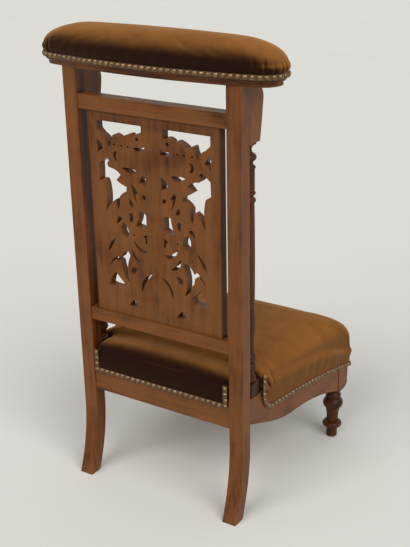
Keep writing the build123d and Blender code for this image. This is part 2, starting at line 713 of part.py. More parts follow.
board_top = board_height + board_thickness
with BuildPart() as board:
    with BuildSketch(Plane.XY.offset(board_height + board_step_height)):
        with BuildLine():
            draw_board_outline(0)
        make_face()
    extrude(amount=board_thickness - board_step_height)
    lip_edges = board.edges().group_by(Axis.Z)[0]
    fillet(lip_edges, radius=board_edge_radius)
    with BuildSketch(Plane.XY.offset(board_height)):
        with BuildLine():
            draw_board_outline(-board_step_inset)
        make_face()
    extrude(amount=board_step_height)
    with BuildSketch(Plane.XY.offset(board_height)):
        for hand, side in hands:
            with Locations((side * post_x, post_top_y)):
                Rectangle(post_tenon + 2 * glue_gap, post_tenon + 2 * glue_gap)
    extrude(amount=post_tenon_length + tenon_end_gap, mode=Mode.SUBTRACT)
board.part.label = "armrest_board"
export_step(board.part, "parts/armrest_board.step")

# Armrest pad: a crowned form that overhangs the board's lip
pad_low = board_top + soft_gap
pad_height = armrest_top - pad_low
skirt_low = board_height + skirt_low_height


def draw_pad_form(inset):
    """Lofts the pad from outlines at rising heights, all of them this far inside its skin."""
    sections = []
    for reach, rise, draw in pad_station_shares:
        grow = skin_reach + reach * pad_overhang - inset
        with BuildSketch(Plane.XY.offset(pad_low + rise * (pad_height - inset))) as section:
            with BuildLine():
                draw_board_outline(grow, draw * pad_end_draw)
            make_face()
        sections.append(section.sketch)
    loft(sections=sections)


with BuildPart() as armrest_hollow:
    draw_pad_form(cloth)
    with BuildSketch(Plane.XY.offset(skirt_low - overrun)):
        with BuildLine():
            draw_board_outline(soft_gap)
        make_face()
    extrude(amount=pad_low + overrun / 2 - skirt_low + overrun)
with BuildPart() as armrest_cover:
    draw_pad_form(0)
    with BuildSketch(Plane.XY.offset(skirt_low)):
        with BuildLine():
            draw_board_outline(skin_reach)
        make_face()
    extrude(amount=pad_low + soft_gap - skirt_low)
    add(armrest_hollow.part, mode=Mode.SUBTRACT)
armrest_cover.part.label = "armrest_cover"
export_step(armrest_cover.part, "parts/armrest_cover.step")

with BuildPart() as armrest_stuffing:
    draw_pad_form(cloth + stuffing_gap)
armrest_stuffing.part.label = "armrest_stuffing"
export_step(armrest_stuffing.part, "parts/armrest_stuffing.step")

gimp_low = skirt_low + gimp_rise
nail_rise = gimp_rise + gimp_width / 2
gimp_inner = skin_reach + gimp_gap
gimp_outer = gimp_inner + gimp_thickness
with BuildPart() as armrest_gimp:
    with BuildSketch(Plane.XY.offset(gimp_low)):
        with BuildLine():
            draw_board_outline(gimp_outer)
        make_face()
        with BuildLine():
            draw_board_outline(gimp_inner)
        make_face(mode=Mode.SUBTRACT)
    extrude(amount=gimp_width)
armrest_gimp.part.label = "armrest_gimp"
export_step(armrest_gimp.part, "parts/armrest_gimp.step")

# One domed nail head, then the row of them round the board
with BuildPart() as nail_head:
    with BuildSketch(Plane.XZ):
        with BuildLine():
            rim = (nail_head_radius, 0)
            crown = (0, nail_head_height)
            TangentArc(crown, rim, tangent=(1, 0))
            Polyline(crown, (0, 0), rim)
        make_face()
    revolve(axis=Axis.Z)


def nail_planes(path, outward, spacing):
    """Planes for nail heads spread evenly along a path, half a space in, facing outward(point, tangent)."""
    count = max(2, round(path.length / spacing))
    planes = []
    for index in range(count):
        share = (index + 1 / 2) / count
        point = path.position_at(share)
        tangent = path.tangent_at(share)
        planes.append(Plane(origin=point, x_dir=tangent, z_dir=outward(point, tangent)))
    return planes


with BuildLine(Plane.XY.offset(skirt_low + nail_rise)) as armrest_nail_path:
    draw_board_outline(gimp_outer + gimp_gap)
    split(bisect_by=Plane.YZ, keep=Keep.TOP)


def away_from_board(point, tangent):
    """Level direction square to the path that points away from the board's middle line."""
    square = Vector(tangent.Y, -tangent.X, 0)
    end_y = back_y - board_end_u
    middle = Vector(max(-board_end_x, min(board_end_x, point.X)), end_y, point.Z)
    return square if square.dot(point - middle) > 0 else square * -1


with BuildPart() as armrest_nails:
    half_row = nail_planes(armrest_nail_path.wire(), away_from_board, nail_spacing)
    with Locations(*half_row):
        add(nail_head.part)
    mirror(about=Plane.YZ)
armrest_nails.part.label = "armrest_nails"
export_step(armrest_nails.part, "parts/armrest_nails.step")

# Seat cushion: a crowned form between the front and the plinths, with a tongue between the posts
form_low = leg_block_low
tongue_length = seat_back_edge + tongue_lap


def rising_plane(rise, drop):
    """Plane at this share of the way from the deck to the crown, the crown being this much lower."""
    rear = deck_rear_height + rise * (seat_crown_rear - drop - deck_rear_height)
    front = deck_front_height + rise * (seat_crown_front - drop - deck_front_height)
    return Plane(origin=(0, back_y, rear), x_dir=(1, 0, 0), z_dir=(0, front - rear, seat_reach))


def draw_seat_outline(plane, back, back_grow, grow, front_grow, radius):
    """Draws the seat's outline in a rising plane: frame grown all round, front corners rounded."""
    run = 1 / plane.z_dir.Z
    front = seat_reach + front_grow
    corner = Vector(side_face(front) + grow, front)
    up_side = (corner - Vector(side_face(back) + back_grow, back)).normalized()
    half_turn = (pi / 2 + atan2(up_side.X, up_side.Y)) / 2
    to_join = radius / tan(half_turn)
    side_join = corner - up_side * to_join
    front_join = Vector(corner.X - to_join, front)
    centre = Vector(front_join.X, front - radius)
    middle = centre + (corner - centre).normalized() * radius
    for side in (-1, 1):
        flat = [(side * point.X, -point.Y * run) for point in (side_join, middle, front_join)]
        Line((side * (side_face(back) + back_grow), -back * run), flat[0])
        ThreePointArc(*flat)
    Line((-front_join.X, -front * run), (front_join.X, -front * run))
    back_half = side_face(back) + back_grow
    Line((-back_half, -back * run), (back_half, -back * run))


def draw_seat_form(inset):
    """Lofts the seat's form this far inside its skin: the main body, then the tongue."""
    sections = []
    for rise, side_share, front_share, radius_share in seat_station_shares:
        plane = rising_plane(rise, inset)
        grow = skin_reach - inset + side_share * seat_bulge
        front_grow = skin_reach - inset + front_share * (seat_nose - skin_reach)
        with BuildSketch(plane) as section:
            with BuildLine():
                radius = radius_share * seat_corner_radius
                back_grow = min(grow, skin_reach - inset)
                draw_seat_outline(plane, seat_back_edge + inset, back_grow, grow, front_grow, radius)
            make_face()
        sections.append(section.sketch)
    loft(sections=sections)
    tongue_sections = []
    for along, crown_fall, shoulder_fall in tongue_station_shares:
        half = post_inner - soft_gap - inset
        crown = up_stile(seat_crown_rear - crown_fall * seat_fall - inset)
        shoulder = up_stile(seat_crown_rear - shoulder_fall * seat_fall - inset)
        low = up_stile(form_low - inset)
        forward = back_rail_recess - skin_reach + inset + along * (tongue_length - 2 * inset)
        with BuildSketch(back_plane.offset(forward)) as section:
            with BuildLine():
                ThreePointArc((-half, shoulder), (0, crown), (half, shoulder))
                Polyline((half, shoulder), (half, low), (-half, low), (-half, shoulder))
            make_face()
        tongue_sections.append(section.sketch)
    loft(sections=tongue_sections)


def draw_skirt_edge(rise):
    """Draws the lower edge of the side's cloth, raised square to itself, as depths and heights."""
    turn = (skirt_turn_reach + rise / 2, skirt_turn_low + rise)
    middle = (skirt_middle_reach, skirt_middle_low + rise)
    front = (seat_reach + skin_reach, skirt_front_low + rise)
    top = (skirt_back + rise, skirt_ear_low)
    down = TangentArc(top, turn, tangent=(0, -1))
    along = ThreePointArc(turn, middle, front)
    return [down, along]


# Room for the frame under the tongue of cloth between the posts
with BuildPart() as frame_room:
    with BuildSketch(back_plane.offset(back_rail_recess - soft_gap)):
        with Locations((0, up_stile(form_low) - overrun)):
            Rectangle(2 * (post_inner + soft_gap), deck_rear_height, align=(Align.CENTER, Align.MIN))
    extrude(amount=seat_back_edge + overrun)
    split(bisect_by=deck_plane.offset(soft_gap), keep=Keep.BOTTOM)


def raised_deck(rise):
    """The deck's plane, lifted straight up by this much."""
    return Plane(origin=(0, back_y, deck_rear_height + rise), x_dir=(1, 0, 0), z_dir=deck_plane.z_dir)


# Room for the front legs' blocks, which stand a little outside the side rails
with BuildPart() as leg_room:
    with BuildSketch(Plane.XY.offset(form_low - overrun)):
        with Locations((-leg_x, back_y - leg_u), (leg_x, back_y - leg_u)):
            Rectangle(leg_block + 2 * soft_gap, leg_block + 2 * soft_gap)
    extrude(amount=deck_rear_height - form_low + overrun)
    split(bisect_by=raised_deck(skirt_lap / 2), keep=Keep.BOTTOM)

# Room inside the cover: the stuffing's, and the whole frame's below the deck
with BuildPart() as seat_hollow:
    draw_seat_form(cloth)
    with BuildSketch(raised_deck(skirt_lap / 2), mode=Mode.PRIVATE) as frame_outline:
        with BuildLine():
            back = seat_back_edge - overrun
            draw_seat_outline(deck_plane, back, soft_gap, soft_gap, soft_gap, leg_corner_radius)
        make_face()
    extrude(frame_outline.sketch, amount=deck_front_height - form_low + overrun, dir=(0, 0, -1))

with BuildPart() as seat_cover:
    with BuildSketch(raised_deck(skirt_lap), mode=Mode.PRIVATE) as skirt_outline:
        with BuildLine():
            radius = seat_station_shares[0][-1] * seat_corner_radius
            draw_seat_outline(deck_plane, seat_back_edge, skin_reach, skin_reach, skin_reach, radius)
        make_face()
    extrude(skirt_outline.sketch, amount=deck_front_height - form_low, dir=(0, 0, -1))
    draw_seat_form(0)
    add(seat_hollow.part, mode=Mode.SUBTRACT)
    add(frame_room.part, mode=Mode.SUBTRACT)
    add(leg_room.part, mode=Mode.SUBTRACT)
    with BuildSketch(side_plane(0)):
        with BuildLine():
            down, along = draw_skirt_edge(0)
            Polyline(
                along @ 1,
                (front_reach + overrun, skirt_front_low),
                (front_reach + overrun, form_low - overrun),
                (seat_back_edge - soft_gap, form_low - overrun),
                (seat_back_edge - soft_gap, skirt_ear_low),
                down @ 0,
            )
        make_face()
    extrude(amount=front_half_width + overrun, both=True, mode=Mode.SUBTRACT)
    with BuildSketch(back_plane.offset(back_rail_recess - skin_reach - soft_gap)):
        with Locations((0, up_stile(skirt_rear_low))):
            Rectangle(2 * post_inner, skirt_rear_low - form_low + overrun, align=(Align.CENTER, Align.MAX))
    extrude(amount=skin_reach + 2 * soft_gap, mode=Mode.SUBTRACT)
    with BuildSketch(Plane.XY.offset(form_low)):
        for side in (-1, 1):
            with BuildLine():
                trim_back = seat_back_edge - overrun
                trim_front = seat_back_edge + gimp_width + overrun
                Polyline(
                    (side * (side_face(trim_back) + skin_reach), back_y - trim_back),
                    (side * (side_face(trim_front) + skin_reach), back_y - trim_front),
                    (side * (side_face(trim_front) + skin_reach + overrun), back_y - trim_front),
                    (side * (side_face(trim_back) + skin_reach + overrun), back_y - trim_back),
                    close=True,
                )
            make_face()
    extrude(amount=seat_crown_rear - form_low, mode=Mode.SUBTRACT)
seat_cover.part.label = "seat_cover"
export_step(seat_cover.part, "parts/seat_cover.step")

with BuildPart() as seat_stuffing:
    draw_seat_form(cloth + stuffing_gap)
    split(bisect_by=deck_plane.offset(2 * soft_gap + hessian_thickness), keep=Keep.TOP)
seat_stuffing.part.label = "seat_stuffing"
export_step(seat_stuffing.part, "parts/seat_stuffing.step")

# Hessian over the springs, tacked on the tops of the rails
deck_run = sqrt(seat_reach**2 + (deck_rear_height - deck_front_height) ** 2) / seat_reach
with BuildPart() as hessian:
    with BuildSketch(deck_plane.offset(soft_gap)):
        with BuildLine():
            hessian_rear = reach_at(back_rail_recess, deck_rear_height) + hessian_margin
            hessian_front = seat_reach - hessian_margin
            hessian_shoulder = seat_back_edge + hessian_margin
            right_edge = [
                (post_inner - hessian_margin - soft_gap, hessian_rear),
                (post_inner - hessian_margin - soft_gap, hessian_shoulder),
                (side_face(hessian_shoulder) - hessian_margin, hessian_shoulder),
                (side_face(hessian_front) - hessian_margin, hessian_front),
            ]
            left_edge = [(-x, u) for x, u in reversed(right_edge)]
            Polyline(*[(x, -u * deck_run) for x, u in right_edge + left_edge], close=True)
        make_face()
    extrude(amount=hessian_thickness)
hessian.part.label = "seat_hessian"
export_step(hessian.part, "parts/seat_hessian.step")

# Webbing: three straps under the rails, and three across them turned up at the side rails
web_plane = Plane(
    origin=(0, back_y, web_rear_height),
    x_dir=(1, 0, 0),
    z_dir=(0, web_front_height - web_rear_height, seat_reach),
)
web_run = sqrt(seat_reach**2 + (web_rear_height - web_front_height) ** 2) / seat_reach
strap_rear = reach_at(back_rail_recess, seat_rail_low) + web_margin
strap_front = seat_reach - web_margin
with BuildPart() as webbing:
    with BuildSketch(web_plane):
        for place in web_places:
            with Locations((place, -(strap_rear + strap_front) / 2 * web_run)):
                Rectangle(web_width, (strap_front - strap_rear) * web_run)
    extrude(amount=-web_thickness)
    for reach in web_cross_reaches:
        near = reach - web_width / 2
        far = reach + web_width / 2
        for depth, rise in ((0, web_thickness), (web_thickness, web_turn_up)):
            with BuildSketch(web_plane.offset(soft_gap)):
                for side in (-1, 1):
                    edge_near = inner_face(near) - soft_gap
                    edge_far = inner_face(far) - soft_gap
                    with BuildLine():
                        Polyline(
                            (side * edge_near, -near * web_run),
                            (side * edge_far, -far * web_run),
                            (side * (edge_far - depth) if depth else 0, -far * web_run),
                            (side * (edge_near - depth) if depth else 0, -near * web_run),
                            close=True,
                        )
                    make_face()
            extrude(amount=rise)
webbing.part.label = "seat_webbing"
export_step(webbing.part, "parts/seat_webbing.step")


def deck_to_web(reach):
    """Clear height for a spring at this depth, square to the deck."""
    web_height = web_rear_height + (web_front_height - web_rear_height) * reach / seat_reach
    return (deck_height(reach) - web_height - web_thickness - 2 * soft_gap) / deck_run


def draw_spring(height):
    """Draws a waisted spring's wire from half turns, each an arc in its own tilted plane."""
    count = len(spring_rise_shares)
    ends = []
    for index, rise in enumerate(spring_rise_shares):
        from_middle = abs(2 * index / (count - 1) - 1)
        radius = spring_waist + (spring_radius - spring_waist) * from_middle**2
        side = 1 if index % 2 == 0 else -1
        ends.append(Vector(side * radius, 0, spring_wire / 2 + rise * (height - spring_wire)))
    for index in range(count - 1):
        start = ends[index]
        end = ends[index + 1]
        turn = 1 if index % 2 == 0 else -1
        bulge = Vector(0, turn * (end - start).length / 2, 0)
        ThreePointArc(start, (start + end) * 0.5 + bulge, end)


with BuildPart() as springs:
    crossings = [(place, reach) for row, reach in enumerate(web_cross_reaches)
                 for column, place in enumerate(web_places) if (row + column) % 2 == 0]
    for place, reach in crossings:
        spring_height = deck_to_web(reach) - 2 * soft_gap
        with BuildLine(Plane.XY, mode=Mode.PRIVATE) as wire_path:
            draw_spring(spring_height)
        with BuildSketch(Plane(origin=wire_path.line @ 0, z_dir=(0, 1, 0)), mode=Mode.PRIVATE) as wire_section:
            Circle(spring_wire / 2)
        seat_of_spring = Plane(
            origin=deck_plane.from_local_coords(
                (place, -reach * deck_run, -spring_height - soft_gap)
            ),
            x_dir=(1, 0, 0),
            z_dir=deck_plane.z_dir,
        )
        coil = sweep(wire_section.sketch, path=wire_path.wire(), mode=Mode.PRIVATE)
        with Locations(seat_of_spring):
            add(coil)
wire_points = [wire_path.wire() @ (index / gap_samples) for index in range(gap_samples + 1)]
wire_gaps = [
    (point - other).length - spring_wire
    for index, point in enumerate(wire_points)
    for other in wire_points[index + gap_samples // spring_half_turns:]
]
print("least gap of a spring's wire to itself, mm:", round(min(wire_gaps), 2))
springs.part.label = "seat_springs"
export_step(springs.part, "parts/seat_springs.step")

# Corner blocks, glued between the rails, and the screw through each
def draw_screw(gap):
    """Revolves a countersunk screw that points down from z = 0, grown all round by a gap."""
    with BuildSketch(Plane.XZ) as section:
        with BuildLine():
            Polyline(
                (0, gap),
                (screw_head_diameter / 2 + gap, gap),
                (screw_diameter / 2 + gap, -screw_head_depth),
                (screw_diameter / 2 + gap, -screw_length - gap),
                (0, -screw_length - gap),
                close=True,
            )
        make_face()
    revolve(section.sketch, axis=Axis.Z)


with BuildPart() as screw:
    draw_screw(0)
with BuildPart() as screw_room:
    draw_screw(glue_gap)

with BuildPart() as corner_blocks:
    rear_corner = [
        *rear_long,
        (inner_face(post_depth + block_clip), post_depth + block_clip),
        (post_inner - block_clip, rear_block_u),
    ]
    with BuildSketch(Plane.XY.offset(rear_block_low)):
        for side in (-1, 1):
            with BuildLine():
                Polyline(*[(side * x, back_y - u) for x, u in rear_corner], close=True)
            make_face()
    extrude(amount=block_height)
    split(bisect_by=back_plane.offset(rail_front), keep=Keep.TOP)
    front_corner = [
        *front_long,
        (inner_face(leg_back - block_notch), leg_back - block_notch),
        (leg_inner - block_notch, leg_back - block_notch),
        (leg_inner - block_notch, front_rail_back),
    ]
    with BuildSketch(Plane.XY.offset(front_block_low)):
        for side in (-1, 1):
            with BuildLine():
                Polyline(*[(side * x, back_y - u) for x, u in front_corner], close=True)
            make_face()
    extrude(amount=block_height)
    with Locations(*rear_screws.values(), *front_screws.values()):
        add(screw_room.part, mode=Mode.SUBTRACT)
corner_blocks.part.label = "corner_blocks"
export_step(corner_blocks.part, "parts/corner_blocks.step")

with BuildPart() as corner_screws:
    with Locations(*rear_screws.values(), *front_screws.values()):
        add(screw.part)
corner_screws.part.label = "corner_screws"
export_step(corner_screws.part, "parts/corner_screws.step")

# Gimp along the edges of the seat's cloth, outside it
with BuildPart() as seat_gimp:
    with BuildSketch(side_plane(0)):
        with BuildLine():
            down, along = draw_skirt_edge(gimp_rise)
            top_corner = (skirt_back + gimp_rise, rear_nail_top)
            Line(top_corner, down @ 0)
            inner_down, inner_along = draw_skirt_edge(gimp_rise + gimp_width)
            inner_top = (skirt_back + gimp_rise + gimp_width, rear_nail_top)
            Line(inner_top, inner_down @ 0)
            Line(top_corner, inner_top)
            Line(along @ 1, inner_along @ 1)
        make_face()
    extrude(amount=front_half_width + skin_reach + overrun, both=True)
    with BuildSketch(Plane.XY):
        for side in (-1, 1):
            with BuildLine():
                skin = skin_reach + gimp_gap
                Polyline(
                    (side * (side_face(0) + skin), back_y),
                    (side * (side_face(front_reach) + skin), back_y - front_reach),
                    (side * (side_face(front_reach) + skin + gimp_thickness), back_y - front_reach),
                    (side * (side_face(0) + skin + gimp_thickness), back_y),
                    close=True,
                )
            make_face()
    extrude(amount=board_height, mode=Mode.INTERSECT)
    front_gimp_half = side_face(seat_reach) + skin_reach
    with BuildSketch(Plane.XY.offset(skirt_front_low + gimp_rise)):
        with Locations((0, back_y - seat_reach - skin_reach - gimp_gap - gimp_thickness / 2)):
            Rectangle(2 * front_gimp_half, gimp_thickness)
    extrude(amount=gimp_width)
    rear_gimp_low = up_stile(skirt_rear_low + gimp_rise)
    rear_gimp_top = up_stile(rear_nail_top)
    rear_gimp_half = rear_nail_half_width + gimp_width / 2
    with BuildSketch(back_plane.offset(back_rail_recess - skin_reach - gimp_gap)):
        with Locations((0, rear_gimp_low + gimp_width / 2)):
            Rectangle(2 * rear_gimp_half, gimp_width)
        with Locations((-rear_nail_half_width, rear_gimp_low), (rear_nail_half_width, rear_gimp_low)):
            Rectangle(gimp_width, rear_gimp_top - rear_gimp_low, align=(Align.CENTER, Align.MIN))
    extrude(amount=-gimp_thickness)
seat_gimp.part.label = "seat_gimp"
export_step(seat_gimp.part, "parts/seat_gimp.step")

# Nails along the middle of the seat's gimp
nail_out = skin_reach + gimp_gap + gimp_thickness + gimp_gap
with BuildLine() as side_nail_path:
    down, along = draw_skirt_edge(nail_rise)
    Line((skirt_back + nail_rise, rear_nail_top), down @ 0)
side_nail_count = round(side_nail_path.wire().length / nail_spacing)
side_nail_rows = []
for side in (-1, 1):
    square_out = Vector(side, slant, 0)
    for step in range(side_nail_count):
        place = side_nail_path.wire() @ (step / side_nail_count)
        side_x = side * (side_face(place.X) + nail_out)
        origin = (side_x, back_y - place.X, place.Y)
        side_nail_rows.append(Plane(origin=origin, x_dir=(0, 0, 1), z_dir=square_out))
front_nail_y = back_y - seat_reach - nail_out
front_nail_height = skirt_front_low + nail_rise
front_nail_x = side_face(seat_reach) + skin_reach - gimp_width / 2
with BuildLine() as front_nail_path:
    Line((-front_nail_x, front_nail_y, front_nail_height), (front_nail_x, front_nail_y, front_nail_height))
rear_nail_plane = back_plane.offset(back_rail_recess - nail_out)
rear_nail_low = up_stile(skirt_rear_low) + nail_rise
corner_gap = nail_spacing / 2
rear_nail_reach = rear_nail_half_width + corner_gap
rear_nail_ends = [((-rear_nail_reach, rear_nail_low), (rear_nail_reach, rear_nail_low))]
for side in (-1, 1):
    rear_nail_end = (side * rear_nail_half_width, up_stile(rear_nail_top))
    rear_nail_ends.append(((side * rear_nail_half_width, rear_nail_low + corner_gap), rear_nail_end))
rear_row = []
for start, end in rear_nail_ends:
    with BuildLine(rear_nail_plane) as rear_nail_path:
        Line(start, end)
    rear_row += nail_planes(rear_nail_path.wire(), lambda point, tangent: back_plane.z_dir * -1, nail_spacing)
with BuildPart() as seat_nails:
    front_row = nail_planes(front_nail_path.wire(), lambda point, tangent: Vector(0, -1, 0), nail_spacing)
    with Locations(*side_nail_rows, *front_row, *rear_row):
        add(nail_head.part)
seat_nails.part.label = "seat_nails"
export_step(seat_nails.part, "parts/seat_nails.step")
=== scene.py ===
from math import atan2, cos, hypot, pi, radians, sin

import bpy
from bpy.props import FloatProperty, FloatVectorProperty, PointerProperty
from mathutils import Matrix, Vector


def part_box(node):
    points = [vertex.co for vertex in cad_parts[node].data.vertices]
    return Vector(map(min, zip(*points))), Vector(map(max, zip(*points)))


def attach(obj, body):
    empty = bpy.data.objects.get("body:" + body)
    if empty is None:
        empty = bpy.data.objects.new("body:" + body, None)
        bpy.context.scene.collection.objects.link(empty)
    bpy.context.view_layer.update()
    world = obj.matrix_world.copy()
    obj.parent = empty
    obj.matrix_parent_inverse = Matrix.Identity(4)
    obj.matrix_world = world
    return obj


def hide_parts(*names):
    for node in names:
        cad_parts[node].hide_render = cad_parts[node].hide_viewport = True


bl_info = {
    "name": "Prie-dieu",
    "version": (1, 0, 0),
    "blender": (4, 5, 0),
    "location": "View3D > Sidebar > Prie-dieu",
    "description": "Dresses a kneeling chair with worn walnut, velvet pads, gimp and domed nails",
    "category": "Object",
}

# The frame is loaded first, so that sizes can come from it
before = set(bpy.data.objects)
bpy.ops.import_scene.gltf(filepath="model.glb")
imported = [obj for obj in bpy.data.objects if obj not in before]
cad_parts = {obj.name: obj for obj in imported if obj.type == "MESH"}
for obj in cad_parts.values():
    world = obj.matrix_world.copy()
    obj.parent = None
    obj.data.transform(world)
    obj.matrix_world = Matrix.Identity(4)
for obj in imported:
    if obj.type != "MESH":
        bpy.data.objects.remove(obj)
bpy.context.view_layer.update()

# The deck is the plane of the seat rails' tops: it falls from the chair's rear face to its front
REAR_FACE = 0.187
DECK_REACH = 0.4125
DECK_REAR, DECK_FRONT = 0.252, 0.1905

# Each wood finish: how its pattern is stretched on each axis, its tone, and the nodes it goes on
WOODS = (
    ("walnut_upright", (1.0, 1.0, 0.06), 1.0,
     ("back_post_left", "back_post_right", "armrest_bracket_left", "armrest_bracket_right")),
    ("walnut_turned", (1.0, 1.0, 0.08), 0.62,
     ("column_left", "column_right", "front_leg_left", "front_leg_right")),
    ("walnut_crosswise", (0.06, 1.0, 1.0), 1.0,
     ("upper_back_rail", "lower_back_rail", "seat_back_rail", "seat_front_rail", "armrest_board")),
    ("walnut_lengthwise", (1.0, 0.06, 1.0), 1.0, ("seat_side_rail_left", "seat_side_rail_right")),
    ("walnut_panel", (1.0, 1.0, 0.08), 0.92, ("fretwork_panel",)),
    ("raw_block", (0.1, 0.1, 1.0), 1.8, ("corner_blocks",)),
)

# Colours of what hides inside the seat
JUTE = (0.34, 0.21, 0.10)
HESSIAN = (0.36, 0.24, 0.13)
SPRING_STEEL = (0.20, 0.17, 0.14)
SCREW_STEEL = (0.35, 0.33, 0.30)
RUST = (0.16, 0.07, 0.035)

# The cloth that fills the pads, and the frames that it takes to settle
CLOTH = {
    "quality": 5,
    "mass": 0.25,
    "tension_stiffness": 14,
    "compression_stiffness": 14,
    "shear_stiffness": 5,
    "bending_stiffness": 0.6,
    "use_pressure": True,
}
FILL_FRAMES = 20

# The stage: a pale floor, a dim white sky that the camera sees as pale as the floor, and two soft suns
FLOOR_SIZE = 120
FLOOR_COLOURS = (0.70, 0.692, 0.655), (0.73, 0.722, 0.684)
SKY_LIGHT, SKY_POWER = (1.0, 0.99, 0.97, 1), 0.42
SKY_SEEN = (0.700, 0.692, 0.655, 1)
LAMPS = (("lamp_right", (-0.69, 0.33, 0.64)), ("lamp_left", (0.10, 0.76, 0.64)))
LAMP_POWER, LAMP_SPREAD = 1.45, radians(38)

# The photo's camera, as fitted to the chair's edges
CAMERA_PLACE = (-1.04607, 1.68646, 1.18665)
CAMERA_YAW, CAMERA_PITCH, CAMERA_ROLL = radians(32.115), radians(21.241), radians(-0.13)
CAMERA_LENS, CAMERA_SENSOR = 68.73, 36


class PadSizes(bpy.types.PropertyGroup):
    """Sizes of the two pads."""

    voxel: FloatProperty(name="Cloth voxel", description="Size of the faces the cloth is worked on",
                         default=0.005, unit="LENGTH")
    skin_voxel: FloatProperty(name="Skin voxel", description="Size of the faces of the finished velvet",
                              default=0.0027, unit="LENGTH")
    swell: FloatProperty(name="Swell", description="Most that a point of the pad may move as it fills",
                         default=0.004, unit="LENGTH")
    pressure: FloatProperty(name="Pressure", description="Pressure inside the pad", default=4.0)
    pleat: FloatProperty(name="Pleat", description="Depth of the pleats above the nails",
                         default=0.0026, unit="LENGTH")


class Colours(bpy.types.PropertyGroup):
    """Colours of the finishes."""

    wood: FloatVectorProperty(name="Walnut", description="The stained wood's middle colour",
                              default=(0.125, 0.033, 0.003), subtype="COLOR", size=3)
    # The dark walnut colour gives the dark grain, pores and blotches, and also the painted shade in the
    # wood's corners.
    wood_dark: FloatVectorProperty(name="Walnut, dark", description="Dark grain and grime",
                                   default=(0.026, 0.008, 0.002), subtype="COLOR", size=3)
    wood_worn: FloatVectorProperty(name="Walnut, worn", description="Worn edges",
                                   default=(0.230, 0.082, 0.020), subtype="COLOR", size=3)
    # The two velvet colours are painted light and shade: the first is the velvet on faces painted as lit,
    # the second on faces painted as shaded.
    velvet: FloatVectorProperty(name="Velvet", description="The velvet on faces painted as lit",
                                default=(0.262, 0.100, 0.022), subtype="COLOR", size=3)
    velvet_shaded: FloatVectorProperty(name="Velvet, painted shade", description="The velvet on faces painted as shaded",
                                     default=(0.012, 0.0032, 0.0010), subtype="COLOR", size=3)
    brass: FloatVectorProperty(name="Nail brass", description="Antiqued brass of the nail heads",
                               default=(0.30, 0.185, 0.092), subtype="COLOR", size=3)
    gimp: FloatVectorProperty(name="Gimp", description="Woven braid under the nails",
                              default=(0.105, 0.052, 0.019), subtype="COLOR", size=3)


def give(thing, settings):
    """Gives a node, a modifier or its settings their values."""
    for key, value in settings.items():
        setattr(thing, key, value)


class Wire:
    """A shader socket that takes part in Python sums: each sum adds its Math node."""

    def __init__(self, tree, socket):
        self.tree = tree
        self.socket = socket

    def maths(self, operation, left, right):
        """Adds a Math node for two values; gives its result."""
        values = {"Value": left, "Value_001": right}
        return self.tree.node("ShaderNodeMath", {"operation": operation}, values)["Value"]

    def most(self, other):
        """The greater of two values."""
        return self.maths("MAXIMUM", self, other)

    def __add__(self, other):
        return self.maths("ADD", self, other)

    def __radd__(self, other):
        return self.maths("ADD", other, self)

    def __sub__(self, other):
        return self.maths("SUBTRACT", self, other)

    def __rsub__(self, other):
        return self.maths("SUBTRACT", other, self)

    def __mul__(self, other):
        return self.maths("MULTIPLY", self, other)

    def __rmul__(self, other):
        return self.maths("MULTIPLY", other, self)


class Tree:
    """A node tree under construction. Sockets go by their identifiers, which are their own in each node."""

    def __init__(self, tree):
        self.nodes = tree.nodes
        self.links = tree.links

    def set_up(self, made, settings, values):
        """Gives a node its settings, then its sockets their values or links; gives its outputs."""
        give(made, settings)
        sockets = {socket.identifier: socket for socket in made.inputs}
        for key, value in values.items():
            if isinstance(value, Wire):
                self.links.new(value.socket, sockets[key])
            else:
                sockets[key].default_value = value
        return {socket.identifier: Wire(self, socket) for socket in made.outputs}

    def node(self, kind, settings=None, values=None):
        """Adds a node with its settings and the values or links of its sockets; gives its outputs."""
        return self.set_up(self.nodes.new(kind), settings or {}, values or {})


